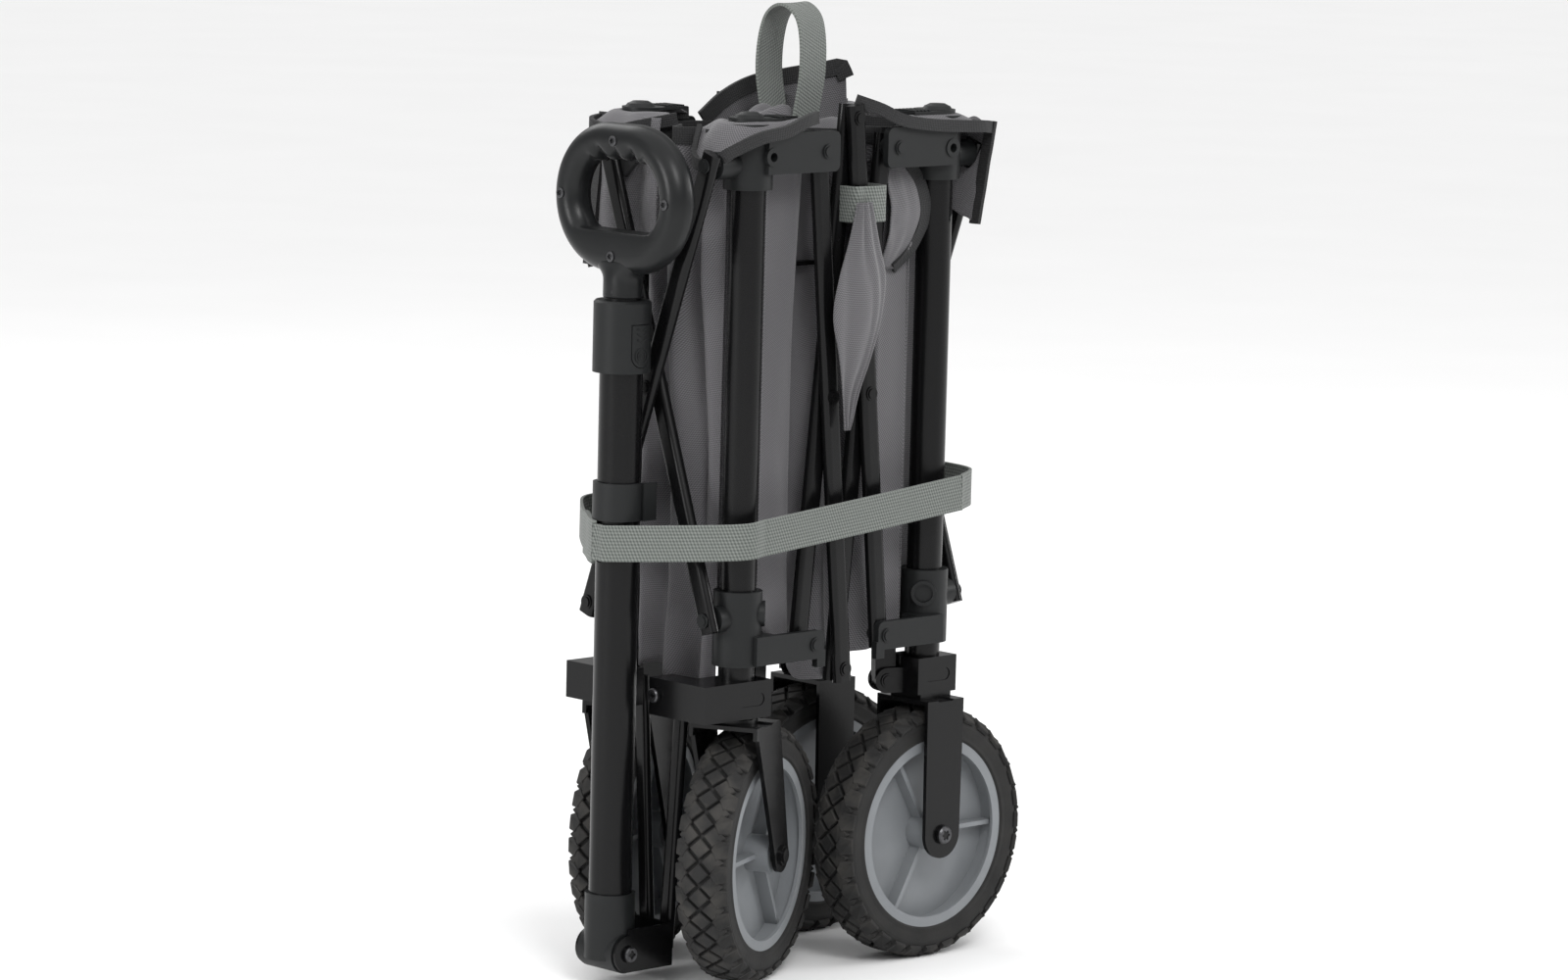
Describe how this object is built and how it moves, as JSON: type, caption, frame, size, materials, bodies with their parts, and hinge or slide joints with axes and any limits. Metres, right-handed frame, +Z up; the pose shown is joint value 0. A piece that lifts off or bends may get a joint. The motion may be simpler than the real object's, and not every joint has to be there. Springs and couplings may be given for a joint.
{
  "type": "folding camp wagon",
  "caption": "Folding camp wagon with scissor side and end bars, swivel front wheels, telescopic pull handle, fabric tub and straps, shown folded upright.",
  "frame": {"origin": "on the floor, under the centre of the bounding box", "axes": "+X towards the wagon's rear (the handle is at -X), +Y towards its right side, +Z up"},
  "size_m": [0.3555, 0.2112, 0.678],
  "materials": {
    "black_steel": "semi-gloss black powder coat",
    "stamped_steel": "semi-gloss black powder coat on pressed steel",
    "bracket_plastic": "matte charcoal moulded plastic",
    "grip_plastic": "satin black moulded plastic",
    "tyre": "dusty black rubber with block tread",
    "rim_plastic": "silver grey moulded plastic",
    "fabric": "grey oxford weave",
    "binding": "black woven edge tape",
    "webbing": "grey ribbed webbing"
  },
  "bodies": {
    "corner_fl": {"post_fl": "black_steel", "top_bracket_fl": "bracket_plastic", "wheel_bracket_fl": "stamped_steel", "fabric_bag": "fabric", "belt_strap": "webbing"},
    "corner_fr": {"post_fr": "black_steel", "top_bracket_fr": "bracket_plastic", "wheel_bracket_fr": "stamped_steel"},
    "corner_rl": {"post_rl": "black_steel", "top_bracket_rl": "bracket_plastic", "wheel_bracket_rl": "stamped_steel", "fork_rl": "stamped_steel"},
    "corner_rr": {"post_rr": "black_steel", "top_bracket_rr": "bracket_plastic", "wheel_bracket_rr": "stamped_steel", "fork_rr": "stamped_steel"},
    "cap_rr": {"corner_cap_rr": "bracket_plastic"},
    "slider_fl": {"slider_fl": "bracket_plastic"},
    "top_bar_fl": {"side_top_bar_fl": "black_steel"},
    "slider_bar_fl": {"side_slider_bar_fl": "black_steel"},
    "base_arm_fl": {"base_arm_fl": "black_steel"},
    "wheel_fl": {"tyre_fl": "tyre", "rim_fl": "rim_plastic"},
    "slider_fr": {"slider_fr": "bracket_plastic"},
    "top_bar_fr": {"side_top_bar_fr": "black_steel"},
    "slider_bar_fr": {"side_slider_bar_fr": "black_steel"},
    "base_arm_fr": {"base_arm_fr": "black_steel"},
    "wheel_fr": {"tyre_fr": "tyre", "rim_fr": "rim_plastic"},
    "slider_rl": {"slider_rl": "bracket_plastic"},
    "top_bar_rl": {"side_top_bar_rl": "black_steel"},
    "slider_bar_rl": {"side_slider_bar_rl": "black_steel"},
    "base_arm_rl": {"base_arm_rl": "black_steel"},
    "wheel_rl": {"tyre_rl": "tyre", "rim_rl": "rim_plastic"},
    "slider_rr": {"slider_rr": "bracket_plastic"},
    "top_bar_rr": {"side_top_bar_rr": "black_steel"},
    "slider_bar_rr": {"side_slider_bar_rr": "black_steel"},
    "base_arm_rr": {"base_arm_rr": "black_steel"},
    "wheel_rr": {"tyre_rr": "tyre", "rim_rr": "rim_plastic"},
    "end_top_front": {"end_top_bar_front": "black_steel"},
    "end_slider_front": {"end_slider_bar_front": "black_steel"},
    "end_top_rear": {"end_top_bar_rear": "black_steel"},
    "end_slider_rear": {"end_slider_bar_rear": "black_steel"},
    "hub": {"base_hub": "stamped_steel", "pull_loop": "webbing"},
    "link_left": {"handle_link_left": "black_steel"},
    "link_right": {"handle_link_right": "black_steel"},
    "handle_hub": {"handle_hub": "stamped_steel"},
    "handle": {"handle_tube": "black_steel", "handle_socket": "bracket_plastic", "handle_collar": "bracket_plastic", "handle_clip": "bracket_plastic"},
    "handle_inner": {"handle_inner_tube": "black_steel", "handle_grip": "grip_plastic"},
    "button": {"collar_button": "bracket_plastic"},
    "caster_fl": {"fork_fl": "stamped_steel"},
    "caster_fr": {"fork_fr": "stamped_steel"}
  },
  "joints": [
    {"name": "unfold", "type": "slide", "parent": "corner_fl", "child": "corner_rl", "axis": [1, 0, 0], "range_m": [0, 0.57022], "deforming": ["fabric_bag", "belt_strap"]},
    {"name": "widen_front", "type": "slide", "parent": "corner_fl", "child": "corner_fr", "axis": [0, 1, 0], "range_m": [0, 0.19213]},
    {"name": "widen_rear", "type": "slide", "parent": "corner_rl", "child": "corner_rr", "axis": [0, 1, 0], "range_m": [0, 0.19213]},
    {"name": "cap_rear_right", "type": "slide", "parent": "corner_fr", "child": "cap_rr", "axis": [1, 0, 0], "range_m": [0, 0.57022]},
    {"name": "slider_lift_fl", "type": "slide", "parent": "corner_fl", "child": "slider_fl", "axis": [0, 0, 1], "range_m": [0, 0.17594]},
    {"name": "top_bar_turn_fl", "type": "hinge", "parent": "corner_fl", "child": "top_bar_fl", "pos_m": [-0.0382, -0.0712, 0.581], "axis": [0, -1, 0], "range_deg": [0, 55.51]},
    {"name": "slider_bar_turn_fl", "type": "hinge", "parent": "slider_fl", "child": "slider_bar_fl", "pos_m": [-0.0382, -0.0712, 0.238], "axis": [0, 1, 0], "range_deg": [0, 55.51]},
    {"name": "base_arm_turn_fl", "type": "hinge", "parent": "corner_fl", "child": "base_arm_fl", "pos_m": [-0.06577, -0.05762, 0.2], "axis": [-0.3195, 0.9476, 0], "range_deg": [0, 78.51]},
    {"name": "slider_lift_fr", "type": "slide", "parent": "corner_fr", "child": "slider_fr", "axis": [0, 0, 1], "range_m": [0, 0.17594]},
    {"name": "top_bar_turn_fr", "type": "hinge", "parent": "corner_fr", "child": "top_bar_fr", "pos_m": [-0.0382, 0.0468, 0.581], "axis": [0, -1, 0], "range_deg": [0, 55.51]},
    {"name": "slider_bar_turn_fr", "type": "hinge", "parent": "slider_fr", "child": "slider_bar_fr", "pos_m": [-0.0382, 0.0468, 0.238], "axis": [0, 1, 0], "range_deg": [0, 55.51]},
    {"name": "base_arm_turn_fr", "type": "hinge", "parent": "corner_fr", "child": "base_arm_fr", "pos_m": [-0.06577, 0.03322, 0.2], "axis": [0.3195, 0.9476, 0], "range_deg": [0, 78.51]},
    {"name": "slider_lift_rl", "type": "slide", "parent": "corner_rl", "child": "slider_rl", "axis": [0, 0, 1], "range_m": [0, 0.17594]},
    {"name": "top_bar_turn_rl", "type": "hinge", "parent": "corner_rl", "child": "top_bar_rl", "pos_m": [0.0318, -0.0712, 0.581], "axis": [0, 1, 0], "range_deg": [0, 55.51]},
    {"name": "slider_bar_turn_rl", "type": "hinge", "parent": "slider_rl", "child": "slider_bar_rl", "pos_m": [0.0318, -0.0712, 0.238], "axis": [0, -1, 0], "range_deg": [0, 55.51]},
    {"name": "base_arm_turn_rl", "type": "hinge", "parent": "corner_rl", "child": "base_arm_rl", "pos_m": [0.05937, -0.05762, 0.2], "axis": [-0.3195, -0.9476, 0], "range_deg": [0, 78.51]},
    {"name": "slider_lift_rr", "type": "slide", "parent": "corner_rr", "child": "slider_rr", "axis": [0, 0, 1], "range_m": [0, 0.17594]},
    {"name": "top_bar_turn_rr", "type": "hinge", "parent": "corner_rr", "child": "top_bar_rr", "pos_m": [0.0318, 0.0468, 0.581], "axis": [0, 1, 0], "range_deg": [0, 55.51]},
    {"name": "slider_bar_turn_rr", "type": "hinge", "parent": "slider_rr", "child": "slider_bar_rr", "pos_m": [0.0318, 0.0468, 0.238], "axis": [0, -1, 0], "range_deg": [0, 55.51]},
    {"name": "base_arm_turn_rr", "type": "hinge", "parent": "corner_rr", "child": "base_arm_rr", "pos_m": [0.05937, 0.03322, 0.2], "axis": [0.3195, -0.9476, 0], "range_deg": [0, 78.51]},
    {"name": "end_top_turn_front", "type": "hinge", "parent": "corner_fl", "child": "end_top_front", "pos_m": [-0.1302, -0.0672, 0.573], "axis": [1, 0, 0], "range_deg": [0, 46.24]},
    {"name": "end_slider_turn_front", "type": "hinge", "parent": "slider_fl", "child": "end_slider_front", "pos_m": [-0.1222, -0.0672, 0.26], "axis": [-1, 0, 0], "range_deg": [0, 46.24]},
    {"name": "end_top_turn_rear", "type": "hinge", "parent": "corner_rl", "child": "end_top_rear", "pos_m": [0.1238, -0.0672, 0.573], "axis": [1, 0, 0], "range_deg": [0, 46.24]},
    {"name": "end_slider_turn_rear", "type": "hinge", "parent": "slider_rl", "child": "end_slider_rear", "pos_m": [0.1158, -0.0672, 0.26], "axis": [-1, 0, 0], "range_deg": [0, 46.24]},
    {"name": "hub_drop", "type": "slide", "parent": "corner_fl", "child": "hub", "axis": [0.7221, 0.2433, -0.6476], "range_m": [0, 0.39485]},
    {"name": "link_turn_left", "type": "hinge", "parent": "corner_fl", "child": "link_left", "pos_m": [-0.1122, -0.0332, 0.20463], "axis": [1, 0, 0], "range_deg": [0, 33.03]},
    {"name": "link_turn_right", "type": "hinge", "parent": "corner_fr", "child": "link_right", "pos_m": [-0.1122, 0.0088, 0.20463], "axis": [-1, 0, 0], "range_deg": [0, 33.03]},
    {"name": "handle_hub_lift", "type": "slide", "parent": "corner_fl", "child": "handle_hub", "axis": [0, 0.9386, 0.345], "range_m": [0, 0.10235]},
    {"name": "handle_swing", "type": "hinge", "parent": "handle_hub", "child": "handle", "pos_m": [-0.1572, -0.0122, 0.025], "axis": [0, -1, 0], "range_deg": [0, 80]},
    {"name": "handle_extend", "type": "slide", "parent": "handle", "child": "handle_inner", "axis": [0, 0, 1], "range_m": [0, 0.33]},
    {"name": "button_press", "type": "slide", "parent": "handle", "child": "button", "axis": [0, 1, 0], "range_m": [0, 0.0015], "stiffness_N_per_m": 400},
    {"name": "swivel_fl", "type": "hinge", "parent": "corner_fl", "child": "caster_fl", "pos_m": [-0.0942, -0.0672, 0.188], "axis": [0, 0, 1], "range_deg": [0, 25]},
    {"name": "swivel_fr", "type": "hinge", "parent": "corner_fr", "child": "caster_fr", "pos_m": [-0.0942, 0.0428, 0.188], "axis": [0, 0, 1], "range_deg": [0, 2]},
    {"name": "wheel_spin_fl", "type": "hinge", "parent": "caster_fl", "child": "wheel_fl", "pos_m": [-0.06679, -0.055, 0.09], "axis": [-0.4067, 0.9135, 0], "continuous": true},
    {"name": "wheel_spin_fr", "type": "hinge", "parent": "caster_fr", "child": "wheel_fr", "pos_m": [-0.06679, 0.055, 0.09], "axis": [-0.4067, 0.9135, 0], "continuous": true},
    {"name": "wheel_spin_rl", "type": "hinge", "parent": "corner_rl", "child": "wheel_rl", "pos_m": [0.0878, -0.0672, 0.09], "axis": [0, 1, 0], "continuous": true},
    {"name": "wheel_spin_rr", "type": "hinge", "parent": "corner_rr", "child": "wheel_rr", "pos_m": [0.0878, 0.0428, 0.09], "axis": [0, 1, 0], "continuous": true}
  ],
  "couplings": [
    {"joint": "widen_front", "follows": "unfold", "ratio": 0.33695},
    {"joint": "widen_rear", "follows": "unfold", "ratio": 0.33695},
    {"joint": "cap_rear_right", "follows": "unfold", "ratio": 1},
    {"joint": "slider_lift_fl", "follows": "unfold", "ratio": 0.30855},
    {"joint": "top_bar_turn_fl", "follows": "unfold", "rad_per_m": 1.6991},
    {"joint": "slider_bar_turn_fl", "follows": "unfold", "rad_per_m": 1.6991},
    {"joint": "base_arm_turn_fl", "follows": "unfold", "rad_per_m": 2.403},
    {"joint": "slider_lift_fr", "follows": "unfold", "ratio": 0.30855},
    {"joint": "top_bar_turn_fr", "follows": "unfold", "rad_per_m": 1.6991},
    {"joint": "slider_bar_turn_fr", "follows": "unfold", "rad_per_m": 1.6991},
    {"joint": "base_arm_turn_fr", "follows": "unfold", "rad_per_m": 2.403},
    {"joint": "slider_lift_rl", "follows": "unfold", "ratio": 0.30855},
    {"joint": "top_bar_turn_rl", "follows": "unfold", "rad_per_m": 1.6991},
    {"joint": "slider_bar_turn_rl", "follows": "unfold", "rad_per_m": 1.6991},
    {"joint": "base_arm_turn_rl", "follows": "unfold", "rad_per_m": 2.403},
    {"joint": "slider_lift_rr", "follows": "unfold", "ratio": 0.30855},
    {"joint": "top_bar_turn_rr", "follows": "unfold", "rad_per_m": 1.6991},
    {"joint": "slider_bar_turn_rr", "follows": "unfold", "rad_per_m": 1.6991},
    {"joint": "base_arm_turn_rr", "follows": "unfold", "rad_per_m": 2.403},
    {"joint": "end_top_turn_front", "follows": "unfold", "rad_per_m": 1.4152},
    {"joint": "end_slider_turn_front", "follows": "unfold", "rad_per_m": 1.4152},
    {"joint": "end_top_turn_rear", "follows": "unfold", "rad_per_m": 1.4152},
    {"joint": "end_slider_turn_rear", "follows": "unfold", "rad_per_m": 1.4152},
    {"joint": "hub_drop", "follows": "unfold", "ratio": 0.69246},
    {"joint": "link_turn_left", "follows": "unfold", "rad_per_m": 1.0111},
    {"joint": "link_turn_right", "follows": "unfold", "rad_per_m": 1.0111},
    {"joint": "handle_hub_lift", "follows": "unfold", "ratio": 0.17949}
  ]
}
